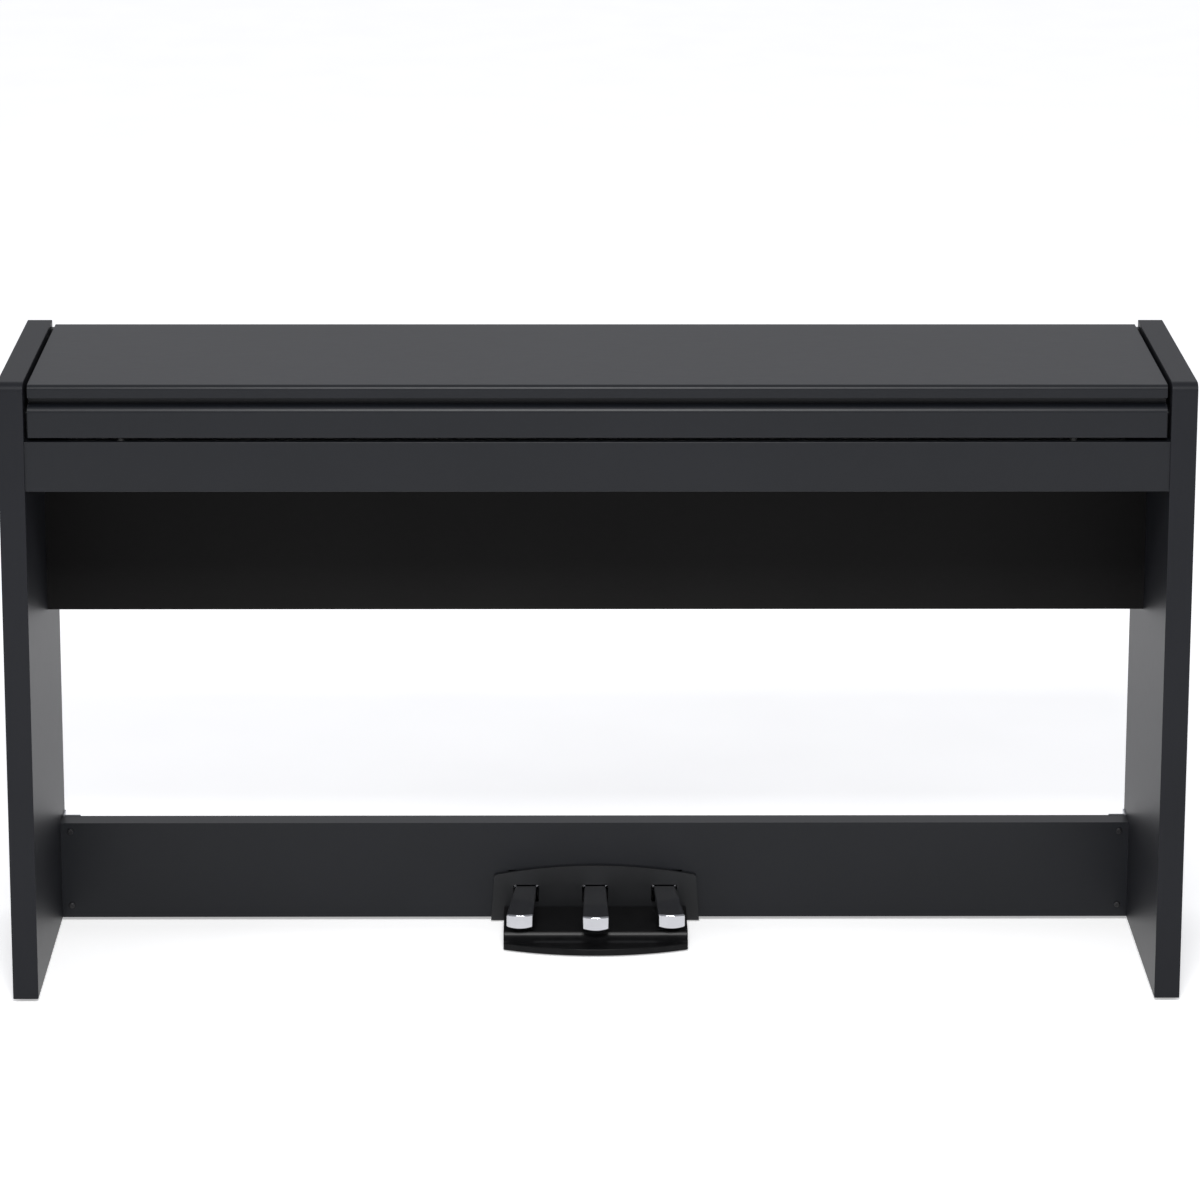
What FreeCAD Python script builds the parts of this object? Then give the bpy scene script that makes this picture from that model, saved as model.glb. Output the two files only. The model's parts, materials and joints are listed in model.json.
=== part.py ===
import FreeCAD, Part
import math
import os
from FreeCAD import Vector

# Compact 88-key digital piano on a panel stand, stored with its lid closed.
# Millimetres. X runs left to right, -Y faces the player, Z is up from the floor.
# The origin is on the floor at the centre of the footprint.

# ---- driving dimensions ----
WIDTH = 1380.0
DEPTH = 350.0
HEIGHT = 750.0
PANEL_T = 30.0
ARRIS = 1.0

GLIDE_R = 10.0
GLIDE_H = 4.0
GLIDE_Y = 150.0

LID_T = 15.0
LID_DROP = 4.0
LID_SIDE_GAP = 4.5
LID_FRONT = -168.0
LID_BACK = 170.0

FLAP_FRONT = -171.0
FLAP_BACK = -147.0
FLAP_BOTTOM = 684.0
GROOVE_BACK = -155.0
GROOVE_FLOOR = 722.0
FLAP_CREST_R = 8.0

SLIP_FRONT = -172.0
SLIP_T = 18.0
SLIP_BOTTOM = 621.0
SLIP_TOP = 680.0
KEYBED_T = 15.0

REAR_BOARD_T = 12.0
REAR_BOARD_BACK = 170.0
SPEAKER_BOTTOM = 423.0
SPEAKER_FRONT = 38.0
SPEAKER_BOARD_T = 12.0
SPEAKER_X = 430.0
SPEAKER_Y = 104.0
CONE_R = 38.0

CROSS_FRONT = 120.0
CROSS_T = 30.0
CROSS_BOTTOM = 5.0
CROSS_TOP = 127.0
CROSS_SCREW_X = 648.0
CROSS_SCREW_Z = (20.5, 116.0)

# keyboard
KEY_PITCH = 23.5
KEY_GAP = 0.9
WHITE_COUNT = 52
WHITE_FRONT = -142.0
KEY_BACK = 6.0
WHITE_TOP = 695.0
WHITE_BOTTOM = 674.0
BLACK_W = 11.0
BLACK_LEN = 95.0
BLACK_TOP = 707.0
BLACK_SLOT = 13.0
STEM_TOP = 686.0
STEM_BOTTOM = 670.0
STEM_END = 88.0
KEY_PIVOT_Y = 70.0
KEY_PIVOT_Z = 678.0
KEY_ROD_R = 2.0
RUNNING = 0.05
FIRST_NOTE = 9
NOTE_COUNT = 88
SOLO_OCTAVE = 4
NOTE_NAMES = ("c", "c_sharp", "d", "d_sharp", "e", "f", "f_sharp", "g", "g_sharp", "a",
              "a_sharp", "b")
WHITE_STEPS = (0, 2, 4, 5, 7, 9, 11)
BLACK_SHIFT = {1: -2.5, 3: 2.5, 6: -3.3, 8: 0.0, 10: 3.3}

# the rails of the key chassis, front and back
RAIL_FRONT = (-132.0, -112.0)
RAIL_BACK = (76.0, 92.0)
RAIL_FRONT_TOP = 661.2
RAIL_BACK_TOP = 667.6

# jacks, in a panel at the left end of the back
JACK_PANEL_END = -500.0
JACK_X = (-592.0, -566.0)
JACK_Z = 675.0
JACK_R = 3.2
JACK_DEPTH = 20.0
INLET_X = -541.0
USB_X = -517.0

# control panel
PANEL_TOP = 712.0
CONTROL_FRONT = 8.0
CONTROL_BACK = 62.0
CONTROL_SKIN = 2.5
CHEEK_X = 613.0
DECK_BOTTOM = 689.0
DECK_TOP = 701.0
KNOB_X = -510.0
KNOB_Y = 35.0
KNOB_SHAFT_R = 3.0
BUTTONS = {"power_button": (-560.0, 30.0), "function_button": (-460.0, 30.0)}
BUTTON_HALF_X = 8.0
BUTTON_HALF_Y = 4.5
BUTTON_CLEAR = 0.4

# music ledge under the lid
LEDGE_HALF = 500.0
LEDGE_Y = 118.0
LEDGE_Z = 726.4
LEDGE_T = 7.0
LEDGE_REACH = 20.0
LEDGE_PIN_R = 1.5

# pedal unit
PEDAL_X = (-85.5, 0.0, 85.5)
PEDAL_NAMES = ("soft", "sostenuto", "damper")
PEDAL_TIP_X = (-92.5, 0.0, 92.5)
PEDAL_TIP_Y = (8.0, 0.0, 8.0)
PEDAL_PIVOT_Y = 150.0
PEDAL_PIVOT_Z = 36.0
PEDAL_AXLE_R = 3.0
PEDAL_TIP_TOP = 44.6
PEDAL_TIP_BOTTOM = 28.0
PEDAL_BACK_TOP = 47.2
PEDAL_THICK = 9.0
PEDAL_HALF = 13.25
PEDAL_FLARE = 3.0
SLOT_HALF = 16.0
SLOT_BOTTOM = 25.0
SLOT_TOP = 48.2
HUB_R = 8.0
PLATE_T = 5.0
BASE_HALF = 112.5
BASE_BOTTOM = 2.0
BASE_SHELF = 10.0
BASE_TOP = 20.0
TRAY_FLOOR = 6.0
TRAY_T = 2.5

# hinges
HINGE_R = 2.2
HINGE_PIN_R = 1.0
HINGE_LEN = 60.0
HINGE_PLATE = 1.6
LID_AXIS_Y = 172.7
FLAP_AXIS_Y = -144.2
HINGE_GAP = 0.4
LID_HINGE_X = (-450.0, -150.0, 150.0, 450.0)
FLAP_HINGE_X = (-500.0, 0.0, 500.0)

# ---- derived dimensions ----
HALF = WIDTH / 2
INNER = HALF - PANEL_T
LID_HALF = INNER - LID_SIDE_GAP
LID_TOP = HEIGHT - LID_DROP
LID_UNDER = LID_TOP - LID_T
KEYBED_TOP = SLIP_BOTTOM + KEYBED_T
SLIP_BACK = SLIP_FRONT + SLIP_T
REAR_BOARD_FRONT = REAR_BOARD_BACK - REAR_BOARD_T
REAR_BOARD_TOP = LID_UNDER - 1.0
CROSS_BACK = CROSS_FRONT + CROSS_T
PLATE_FRONT = CROSS_FRONT - PLATE_T
FLAP_TOP = LID_UNDER - 0.4
FLAP_AXIS_Z = LID_UNDER - 0.4 - HINGE_R

os.makedirs("parts", exist_ok=True)


# ---- helpers ----
def box(x0, x1, y0, y1, z0, z1):
    """A block between two corners."""
    return Part.makeBox(x1 - x0, y1 - y0, z1 - z0, Vector(x0, y0, z0))


def rod(x0, x1, y, z, radius):
    """A round bar along X."""
    return Part.makeCylinder(radius, x1 - x0, Vector(x0, y, z), Vector(1, 0, 0))


def post(x, y, z0, z1, radius):
    """A round bar along Z."""
    return Part.makeCylinder(radius, z1 - z0, Vector(x, y, z0), Vector(0, 0, 1))


def bar_y(x, y0, y1, z, radius):
    """A round bar along Y."""
    return Part.makeCylinder(radius, y1 - y0, Vector(x, y0, z), Vector(0, 1, 0))


def fuse(shapes):
    """One solid from touching shapes."""
    shapes = list(shapes)
    return shapes[0].multiFuse(shapes[1:]).removeSplitter()


def group(shapes):
    """Separate solids kept side by side in one node."""
    solids = []
    for shape in shapes:
        solids.extend(shape.Solids)
    return Part.makeCompound(solids)


def outline_face(steps):
    """A face from points, with (mid, end) pairs standing for arcs."""
    edges = []
    here = steps[0]
    for step in steps[1:]:
        if isinstance(step, tuple):
            edges.append(Part.Arc(here, step[0], step[1]).toShape())
            here = step[1]
        else:
            edges.append(Part.LineSegment(here, step).toShape())
            here = step
    if here.distanceToPoint(steps[0]) > 1e-6:
        edges.append(Part.LineSegment(here, steps[0]).toShape())
    return Part.Face(Part.Wire(edges))


def prism_x(points, x0, x1):
    """A straight-sided (Y, Z) outline carried along X."""
    corners = [Vector(x0, y, z) for y, z in points]
    return outline_face(corners).extrude(Vector(x1 - x0, 0, 0))


def prism_z(points, z0, z1):
    """A straight-sided (X, Y) outline carried along Z."""
    corners = [Vector(x, y, z0) for x, y in points]
    return outline_face(corners).extrude(Vector(0, 0, z1 - z0))


def edges_where(shape, test):
    """The edges whose two ends both pass a test."""
    return [e for e in shape.Edges if all(test(v.Point) for v in e.Vertexes)]


def near(a, b):
    return abs(a - b) < 1e-4


def mirrored(shape):
    """The same shape on the other side of the middle."""
    return shape.mirror(Vector(0, 0, 0), Vector(1, 0, 0))


def save(name, shape):
    shape.exportStep("parts/" + name + ".step")


# ---- stand ----
def side_panel(x0):
    """A full-height board with a rounded front-top corner and eased edges."""
    corner_r = 10.0
    panel = box(x0, x0 + PANEL_T, -DEPTH / 2, DEPTH / 2, GLIDE_H, HEIGHT)
    corner = edges_where(panel, lambda p: near(p.y, -DEPTH / 2) and near(p.z, HEIGHT))
    panel = panel.makeFillet(corner_r, corner)
    rims = []
    for side in (x0, x0 + PANEL_T):
        rims += edges_where(panel, lambda p: near(p.x, side))
    return panel.makeFillet(ARRIS, rims)


def floor_glides():
    """Round glides under the side panels, and two pads under the pedal base."""
    pad_x = 80.0
    pad_y = 55.0
    pad_r = 9.0
    glides = []
    for x in (-HALF + PANEL_T / 2, HALF - PANEL_T / 2):
        for y in (-GLIDE_Y, GLIDE_Y):
            glides.append(post(x, y, 0, GLIDE_H, GLIDE_R))
    for x in (-pad_x, pad_x):
        glides.append(post(x, pad_y, 0, BASE_BOTTOM, pad_r))
    return group(glides)


def crossboard():
    """The low rear board, notched from below for the pedal mechanism."""
    notch_half = 108.0
    notch_top = 66.0
    hole_r = 2.0
    board = box(-INNER, INNER, CROSS_FRONT, CROSS_BACK, CROSS_BOTTOM, CROSS_TOP)
    notch = box(-notch_half, notch_half, CROSS_FRONT, CROSS_BACK, CROSS_BOTTOM, notch_top)
    board = board.cut(notch)
    for x in (-CROSS_SCREW_X, CROSS_SCREW_X):
        for z in CROSS_SCREW_Z:
            board = board.cut(bar_y(x, CROSS_FRONT, CROSS_BACK, z, hole_r))
    return board


def crossboard_screws():
    """Four domed cross-head screws through the ends of the crossboard."""
    head_r = 3.6
    head_h = 2.0
    edge_r = 0.9
    recess_half = 2.0
    recess_w = 0.45
    recess_depth = 0.9
    shank_r = 1.95
    reach = 6.0
    screws = []
    for x in (-CROSS_SCREW_X, CROSS_SCREW_X):
        for z in CROSS_SCREW_Z:
            head = bar_y(x, CROSS_FRONT - head_h, CROSS_FRONT, z, head_r)
            rim = edges_where(head, lambda p: near(p.y, CROSS_FRONT - head_h))
            head = head.makeFillet(edge_r, rim)
            for wide, tall in ((recess_w, recess_half), (recess_half, recess_w)):
                head = head.cut(box(x - wide, x + wide, CROSS_FRONT - head_h,
                                    CROSS_FRONT - head_h + recess_depth, z - tall, z + tall))
            shank = bar_y(x, CROSS_FRONT, CROSS_BACK + reach, z, shank_r)
            screws.append(fuse([head, shank]))
    return group(screws)


def panel_brackets():
    """Angle brackets: two at each end of the crossboard, one at each end of the keybed."""
    leg = 22.0
    t = 2.0
    tall = 24.0
    hole_r = 2.0
    keybed_y = (80.0, 120.0)
    brackets = []
    for z in CROSS_SCREW_Z:
        low = z - tall / 2
        high = z + tall / 2
        flat = box(INNER - leg, INNER, CROSS_BACK, CROSS_BACK + t, low, high)
        flat = flat.cut(bar_y(CROSS_SCREW_X, CROSS_BACK, CROSS_BACK + t, z, hole_r))
        side = box(INNER - t, INNER, CROSS_BACK + t, CROSS_BACK + leg, low, high)
        brackets.append(fuse([flat, side]))
    under = box(INNER - leg, INNER, *keybed_y, SLIP_BOTTOM - t, SLIP_BOTTOM)
    down = box(INNER - t, INNER, *keybed_y, SLIP_BOTTOM - leg, SLIP_BOTTOM - t)
    brackets.append(fuse([under, down]))
    return group(brackets + [mirrored(b) for b in brackets])


# ---- keyboard case ----
def keybed_board():
    return box(-INNER, INNER, SLIP_BACK, REAR_BOARD_FRONT, SLIP_BOTTOM, KEYBED_TOP)


def key_slip():
    """The front rail under the flap."""
    rail = box(-INNER, INNER, SLIP_FRONT, SLIP_BACK, SLIP_BOTTOM, SLIP_TOP)
    front = edges_where(rail, lambda p: near(p.y, SLIP_FRONT))
    long_edges = [e for e in front if e.Length > WIDTH / 2]
    return rail.makeFillet(ARRIS, long_edges)


def rear_panel():
    """The upper back board, beside the jack panel."""
    return box(JACK_PANEL_END, INNER, REAR_BOARD_FRONT, REAR_BOARD_BACK, SLIP_BOTTOM,
               REAR_BOARD_TOP)


def corner_fillers():
    """Small blocks that close the gap beside the back corners of the lid."""
    wide = 3.2
    top = LID_TOP - 3.5
    filler = box(INNER - wide, INNER, REAR_BOARD_FRONT, REAR_BOARD_BACK, REAR_BOARD_TOP, top)
    return group([filler, mirrored(filler)])


def jack_panel():
    """A moulded corner panel with two headphone jacks, a power inlet and a data socket."""
    plate_t = 3.0
    inner_end = REAR_BOARD_BACK - JACK_DEPTH
    floor = 3.0
    back = REAR_BOARD_BACK
    usb = (8.0, 7.5)
    wall = 2.0
    jack_body_r = 5.5
    inlet_body_r = 5.0
    inlet_r = 2.8
    inlet_pin_r = 1.0
    solids = [box(-INNER, JACK_PANEL_END, back - plate_t, back, SLIP_BOTTOM, REAR_BOARD_TOP)]
    for x in JACK_X:
        solids.append(bar_y(x, inner_end, back, JACK_Z, jack_body_r))
    solids.append(bar_y(INLET_X, inner_end, back, JACK_Z, inlet_body_r))
    solids.append(box(USB_X - usb[0], USB_X + usb[0], inner_end, back,
                      JACK_Z - usb[1], JACK_Z + usb[1]))
    plate = fuse(solids)
    for x in JACK_X:
        plate = plate.cut(bar_y(x, inner_end, back, JACK_Z, JACK_R))
    inlet = bar_y(INLET_X, inner_end + floor, back, JACK_Z, inlet_r)
    inlet = inlet.cut(bar_y(INLET_X, inner_end + floor, back - 1.0, JACK_Z, inlet_pin_r))
    socket = box(USB_X - usb[0] + wall, USB_X + usb[0] - wall, inner_end + floor, back,
                 JACK_Z - usb[1] + wall, JACK_Z + usb[1] - wall)
    return plate.cut(inlet).cut(socket)


def cheek_blocks():
    """The blocks that close each end of the keys and carry the key rod."""
    nose_r = 6.0
    front = FLAP_BACK + 3.0
    outline = [
        (front, KEYBED_TOP), (REAR_BOARD_FRONT, KEYBED_TOP), (REAR_BOARD_FRONT, DECK_BOTTOM),
        (CONTROL_BACK, DECK_BOTTOM), (CONTROL_BACK, PANEL_TOP), (front, PANEL_TOP),
    ]
    block = prism_x(outline, CHEEK_X, INNER)
    nose = edges_where(block, lambda p: near(p.y, front) and near(p.z, PANEL_TOP))
    block = block.makeFillet(nose_r, nose)
    block = block.cut(rod(CHEEK_X, CHEEK_X + 10, KEY_PIVOT_Y, KEY_PIVOT_Z, KEY_ROD_R))
    return group([block, mirrored(block)])


def rear_deck():
    return box(-INNER, INNER, CONTROL_BACK, REAR_BOARD_FRONT, DECK_BOTTOM, DECK_TOP)


def control_panel():
    """A folded cover behind the keys, with holes for its knob and buttons."""
    under = PANEL_TOP - CONTROL_SKIN
    wall = DECK_BOTTOM + 1.0
    top = box(-CHEEK_X, CHEEK_X, CONTROL_FRONT, CONTROL_BACK, under, PANEL_TOP)
    front = box(-CHEEK_X, CHEEK_X, CONTROL_FRONT, CONTROL_FRONT + CONTROL_SKIN, wall, PANEL_TOP)
    back = box(-CHEEK_X, CHEEK_X, CONTROL_BACK - CONTROL_SKIN, CONTROL_BACK, DECK_TOP, PANEL_TOP)
    cover = fuse([top, front, back])
    crest = edges_where(cover, lambda p: near(p.y, CONTROL_FRONT) and near(p.z, PANEL_TOP))
    cover = cover.makeFillet(1.5, crest)
    for x, y in BUTTONS.values():
        hx = BUTTON_HALF_X + BUTTON_CLEAR
        hy = BUTTON_HALF_Y + BUTTON_CLEAR
        cover = cover.cut(box(x - hx, x + hx, y - hy, y + hy, under, PANEL_TOP))
    return cover.cut(post(KNOB_X, KNOB_Y, under, PANEL_TOP, KNOB_SHAFT_R + BUTTON_CLEAR))


def push_button(x, y):
    """A rectangular cap with a collar under the cover and a stem."""
    rise = 2.0
    under = PANEL_TOP - CONTROL_SKIN
    cap = box(x - BUTTON_HALF_X, x + BUTTON_HALF_X, y - BUTTON_HALF_Y, y + BUTTON_HALF_Y,
              under - 2.0, PANEL_TOP + rise)
    rim = edges_where(cap, lambda p: near(p.z, PANEL_TOP + rise))
    cap = cap.makeFillet(0.8, rim)
    collar = box(x - BUTTON_HALF_X - 1.5, x + BUTTON_HALF_X + 1.5,
                 y - BUTTON_HALF_Y - 1.5, y + BUTTON_HALF_Y + 1.5, under - 2.0, under - 0.4)
    stem = post(x, y, under - 6.0, under - 2.0, 2.0)
    return fuse([cap, collar, stem])


def volume_knob():
    """A knurled knob with a pointer line, on a short shaft."""
    knob_r = 9.0
    base = PANEL_TOP + 0.5
    top = PANEL_TOP + 11.0
    body = Part.makeCone(knob_r, knob_r - 0.8, top - base, Vector(KNOB_X, KNOB_Y, base))
    rim = edges_where(body, lambda p: near(p.z, top))
    body = body.makeFillet(0.8, rim)
    flute_r = 0.7
    flutes = 24
    for i in range(flutes):
        turn = 2 * math.pi * i / flutes
        x = KNOB_X + knob_r * math.cos(turn)
        y = KNOB_Y + knob_r * math.sin(turn)
        body = body.cut(post(x, y, base, top - 1.5, flute_r))
    pointer = box(KNOB_X - 0.6, KNOB_X + 0.6, KNOB_Y - 8, KNOB_Y - 3, top - 0.5, top)
    shaft = post(KNOB_X, KNOB_Y, PANEL_TOP - 9.0, base, KNOB_SHAFT_R)
    return fuse([body.cut(pointer), shaft])


def circuit_boards():
    """The board under the buttons, the main board on its posts, and the key sensor board."""
    t = 1.6
    under_buttons = box(-600, -420, 14, 56, 698.0, 698.0 + t)
    main_x = (-540.0, -330.0)
    main_y = (100.0, 146.0)
    main_z = 645.0
    inset = 10.0
    post_r = 3.0
    solids = [box(*main_x, *main_y, main_z, main_z + t)]
    chip, chip_pitch, chip_h = 20.0, 45.0, 3.0
    for i in range(4):
        x = -500.0 + chip_pitch * i
        solids.append(box(x, x + chip, 112, 130, main_z + t, main_z + t + chip_h))
    for x in (main_x[0] + inset, main_x[1] - inset):
        for y in (main_y[0] + inset / 2, main_y[1] - inset / 2):
            solids.append(post(x, y, KEYBED_TOP, main_z, post_r))
    sensor_z = KEYBED_TOP + 2.5
    sensors = box(-600, 600, -30, 20, sensor_z, sensor_z + t)
    return group([under_buttons, fuse(solids), sensors])


# ---- keys ----
def keyboard():
    """Every note with its octave, its kind and its middle, from the lowest A to the top C."""
    notes = []
    whites = 0
    left = -WHITE_COUNT * KEY_PITCH / 2
    for i in range(NOTE_COUNT):
        step = (FIRST_NOTE + i) % 12
        octave = (FIRST_NOTE + i) // 12
        if step in WHITE_STEPS:
            notes.append((step, octave, left + KEY_PITCH * (whites + 0.5)))
            whites += 1
        else:
            notes.append((step, octave, left + KEY_PITCH * whites + BLACK_SHIFT[step]))
    return notes


def rod_hole(key, x):
    """The running hole that the key turns on."""
    return key.cut(rod(x - 15, x + 15, KEY_PIVOT_Y, KEY_PIVOT_Z, KEY_ROD_R + RUNNING))


def white_key(x, left_black, right_black):
    """A white key, cut away beside its black neighbours."""
    half = (KEY_PITCH - KEY_GAP) / 2
    lip_r = 2.0
    low = x - half
    high = x + half
    if left_black is not None:
        low = left_black + BLACK_SLOT / 2
    if right_black is not None:
        high = right_black - BLACK_SLOT / 2
    shoulder = KEY_BACK - BLACK_LEN - 2.0
    outline = [
        (x - half, WHITE_FRONT), (x + half, WHITE_FRONT), (x + half, shoulder), (high, shoulder),
        (high, KEY_BACK), (low, KEY_BACK), (low, shoulder), (x - half, shoulder),
    ]
    clean = [p for i, p in enumerate(outline) if p != outline[i - 1]]
    head = prism_z(clean, WHITE_BOTTOM, WHITE_TOP)
    lip = edges_where(head, lambda p: near(p.y, WHITE_FRONT) and near(p.z, WHITE_TOP))
    head = head.makeFillet(lip_r, lip)
    stem = box(low + 1.5, high - 1.5, KEY_BACK - 60, STEM_END, STEM_BOTTOM, STEM_TOP)
    return rod_hole(fuse([head, stem]), x)


def black_key(x):
    """A black key with a sloping front and narrowed top."""
    half = BLACK_W / 2
    front = KEY_BACK - BLACK_LEN
    slope = 5.0
    nose = 678.0
    crest_cut = 1.2
    outline = [
        (front, nose), (front + slope, BLACK_TOP), (KEY_BACK, BLACK_TOP), (KEY_BACK, STEM_TOP),
        (STEM_END, STEM_TOP), (STEM_END, STEM_BOTTOM), (front + 30, STEM_BOTTOM),
        (front + 20, nose),
    ]
    key = prism_x(outline, x - half, x + half)
    crest = edges_where(key, lambda p: near(p.z, BLACK_TOP))
    long_crest = [e for e in crest if e.Length > BLACK_W + 1]
    return rod_hole(key.makeChamfer(crest_cut, long_crest), x)


def all_keys():
    """The keys of one octave by name, and the rest gathered by colour."""
    notes = keyboard()
    solo = {}
    rest = {"white_keys": [], "black_keys": []}
    for i, (step, octave, x) in enumerate(notes):
        if step in WHITE_STEPS:
            before = notes[i - 1] if i else None
            after = notes[i + 1] if i + 1 < len(notes) else None
            left_black = before[2] if before and before[0] not in WHITE_STEPS else None
            right_black = after[2] if after and after[0] not in WHITE_STEPS else None
            key = white_key(x, left_black, right_black)
            kind = "white_keys"
        else:
            key = black_key(x)
            kind = "black_keys"
        if octave == SOLO_OCTAVE:
            solo["key_" + NOTE_NAMES[step]] = key
        else:
            rest[kind].append(key)
    nodes = {name: group(keys) for name, keys in rest.items()}
    nodes.update(solo)
    return nodes


def key_frame():
    """The moulded chassis under the keys: a plate with two hollow rails."""
    wall = 2.5
    half = CHEEK_X - 0.5
    pieces = [box(-half, half, RAIL_FRONT[0], RAIL_BACK[1], KEYBED_TOP, KEYBED_TOP + wall)]
    for (y0, y1), top in ((RAIL_FRONT, RAIL_FRONT_TOP), (RAIL_BACK, RAIL_BACK_TOP)):
        pieces.append(box(-half, half, y0, y0 + wall, KEYBED_TOP, top))
        pieces.append(box(-half, half, y1 - wall, y1, KEYBED_TOP, top))
        pieces.append(box(-half, half, y0, y1, top - wall, top))
    return fuse(pieces)


def key_felts():
    """The strips that stop the keys: under their fronts, and under their tails."""
    half = CHEEK_X - 5.0
    inset = 2.0
    front_t = 3.0
    rest_gap = 0.4
    front = box(-half, half, RAIL_FRONT[0] + inset, RAIL_FRONT[1] - inset, RAIL_FRONT_TOP,
                RAIL_FRONT_TOP + front_t)
    back = box(-half, half, RAIL_BACK[0] + inset, RAIL_BACK[1] - inset, RAIL_BACK_TOP,
               STEM_BOTTOM - rest_gap)
    return group([front, back])


def key_pivot_rod():
    return rod(-CHEEK_X - 10, CHEEK_X + 10, KEY_PIVOT_Y, KEY_PIVOT_Z, KEY_ROD_R)


# ---- speakers ----
def speaker_front_board():
    back = SPEAKER_FRONT + SPEAKER_BOARD_T
    return box(-INNER, INNER, SPEAKER_FRONT, back, SPEAKER_BOTTOM, SLIP_BOTTOM)


def speaker_rear_board():
    return box(-INNER, INNER, REAR_BOARD_FRONT, REAR_BOARD_BACK, SPEAKER_BOTTOM, SLIP_BOTTOM)


def speaker_bottom_board():
    """The floor of the speaker box, with a round opening for each speaker."""
    y0 = SPEAKER_FRONT + SPEAKER_BOARD_T
    top = SPEAKER_BOTTOM + SPEAKER_BOARD_T
    board = box(-INNER, INNER, y0, REAR_BOARD_FRONT, SPEAKER_BOTTOM, top)
    for x in (-SPEAKER_X, SPEAKER_X):
        board = board.cut(post(x, SPEAKER_Y, SPEAKER_BOTTOM, top, CONE_R + 2))
    return board


def speaker_units():
    """A steel basket and a magnet above each opening."""
    seat = SPEAKER_BOTTOM + SPEAKER_BOARD_T
    units = []
    for x in (-SPEAKER_X, SPEAKER_X):
        at = Vector(x, SPEAKER_Y, seat)
        flange = Part.makeCylinder(CONE_R + 10, 2.0, at)
        basket = Part.makeCone(CONE_R + 4, 22.0, 30.0, at)
        magnet = post(x, SPEAKER_Y, seat + 30.0, seat + 46.0, 30.0)
        hollow = Part.makeCone(CONE_R + 1, 19.0, 30.0, at)
        units.append(fuse([flange, basket, magnet]).cut(hollow))
    return group(units)


def speaker_cones():
    """Shallow paper cones, opening downwards."""
    seat = SPEAKER_BOTTOM + SPEAKER_BOARD_T
    cones = []
    for x in (-SPEAKER_X, SPEAKER_X):
        at = Vector(x, SPEAKER_Y, seat)
        outer = Part.makeCone(CONE_R, 12.0, 20.0, at)
        inner = Part.makeCone(CONE_R - 1.5, 10.5, 18.5, at)
        cones.append(outer.cut(inner))
    return group(cones)


def speaker_grilles():
    """Round pierced covers under the speaker openings."""
    grille_r = CONE_R + 9
    t = 1.5
    hole_r = 2.2
    grilles = []
    for x in (-SPEAKER_X, SPEAKER_X):
        disc = post(x, SPEAKER_Y, SPEAKER_BOTTOM - t, SPEAKER_BOTTOM, grille_r)
        holes = []
        for ring in range(1, 6):
            for i in range(6 * ring):
                turn = 2 * math.pi * i / (6 * ring)
                hx = x + 7.0 * ring * math.cos(turn)
                hy = SPEAKER_Y + 7.0 * ring * math.sin(turn)
                holes.append(post(hx, hy, SPEAKER_BOTTOM - t, SPEAKER_BOTTOM, hole_r))
        grilles.append(disc.cut(Part.makeCompound(holes)))
    return group(grilles)


# ---- lid ----
def lid_leaf():
    """The whole top, hinged along its back edge, with a rounded front."""
    front_r = 5.5
    back_r = 1.5
    leaf = box(-LID_HALF, LID_HALF, LID_FRONT, LID_BACK, LID_UNDER, LID_TOP)
    nose = edges_where(leaf, lambda p: near(p.y, LID_FRONT) and near(p.z, LID_TOP))
    leaf = leaf.makeFillet(front_r, nose)
    tail = edges_where(leaf, lambda p: near(p.y, LID_BACK) and near(p.z, LID_TOP))
    return leaf.makeFillet(back_r, tail)


def lid_flap():
    """The front flap: a finger groove under the lid, a rounded crest and a flat face."""
    r = 2.0
    lean = math.sqrt(0.5)
    crest_y = FLAP_FRONT + FLAP_CREST_R
    crest_z = GROOVE_FLOOR - FLAP_CREST_R

    def at(y, z):
        return Vector(-LID_HALF, y, z)

    crest_mid = at(crest_y - FLAP_CREST_R * lean, crest_z + FLAP_CREST_R * lean)
    low_front_mid = at(FLAP_FRONT + r - r * lean, FLAP_BOTTOM + r - r * lean)
    low_back_mid = at(FLAP_BACK - r + r * lean, FLAP_BOTTOM + r - r * lean)
    face = outline_face([
        at(FLAP_BACK, FLAP_TOP), at(GROOVE_BACK, FLAP_TOP), at(GROOVE_BACK, GROOVE_FLOOR),
        at(crest_y, GROOVE_FLOOR), (crest_mid, at(FLAP_FRONT, crest_z)),
        at(FLAP_FRONT, FLAP_BOTTOM + r), (low_front_mid, at(FLAP_FRONT + r, FLAP_BOTTOM)),
        at(FLAP_BACK - r, FLAP_BOTTOM), (low_back_mid, at(FLAP_BACK, FLAP_BOTTOM + r)),
    ])
    return face.extrude(Vector(2 * LID_HALF, 0, 0))


def flap_bumpers():
    """Two small pads under the flap that meet the key slip."""
    bumper_x = 549.0
    bumper_y = FLAP_FRONT + 8.0
    bumper_r = 4.0
    clear = 0.3
    bumpers = []
    for x in (-bumper_x, bumper_x):
        bumpers.append(post(x, bumper_y, SLIP_TOP + clear, FLAP_BOTTOM, bumper_r))
    return group(bumpers)


def knuckles(x, middle):
    """The stretches of barrel that one leaf of a three-knuckle hinge has."""
    third = HINGE_LEN / 3
    if middle:
        return [(x - third / 2, x + third / 2)]
    return [(x - HINGE_LEN / 2, x - third / 2 - HINGE_GAP),
            (x + third / 2 + HINGE_GAP, x + HINGE_LEN / 2)]


def bored_leaf(pieces, x, y, z):
    """A hinge leaf fused from its pieces and bored along its whole pin."""
    bore = rod(x - HINGE_LEN, x + HINGE_LEN, y, z, HINGE_PIN_R + RUNNING)
    return fuse(pieces).cut(bore)


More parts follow.
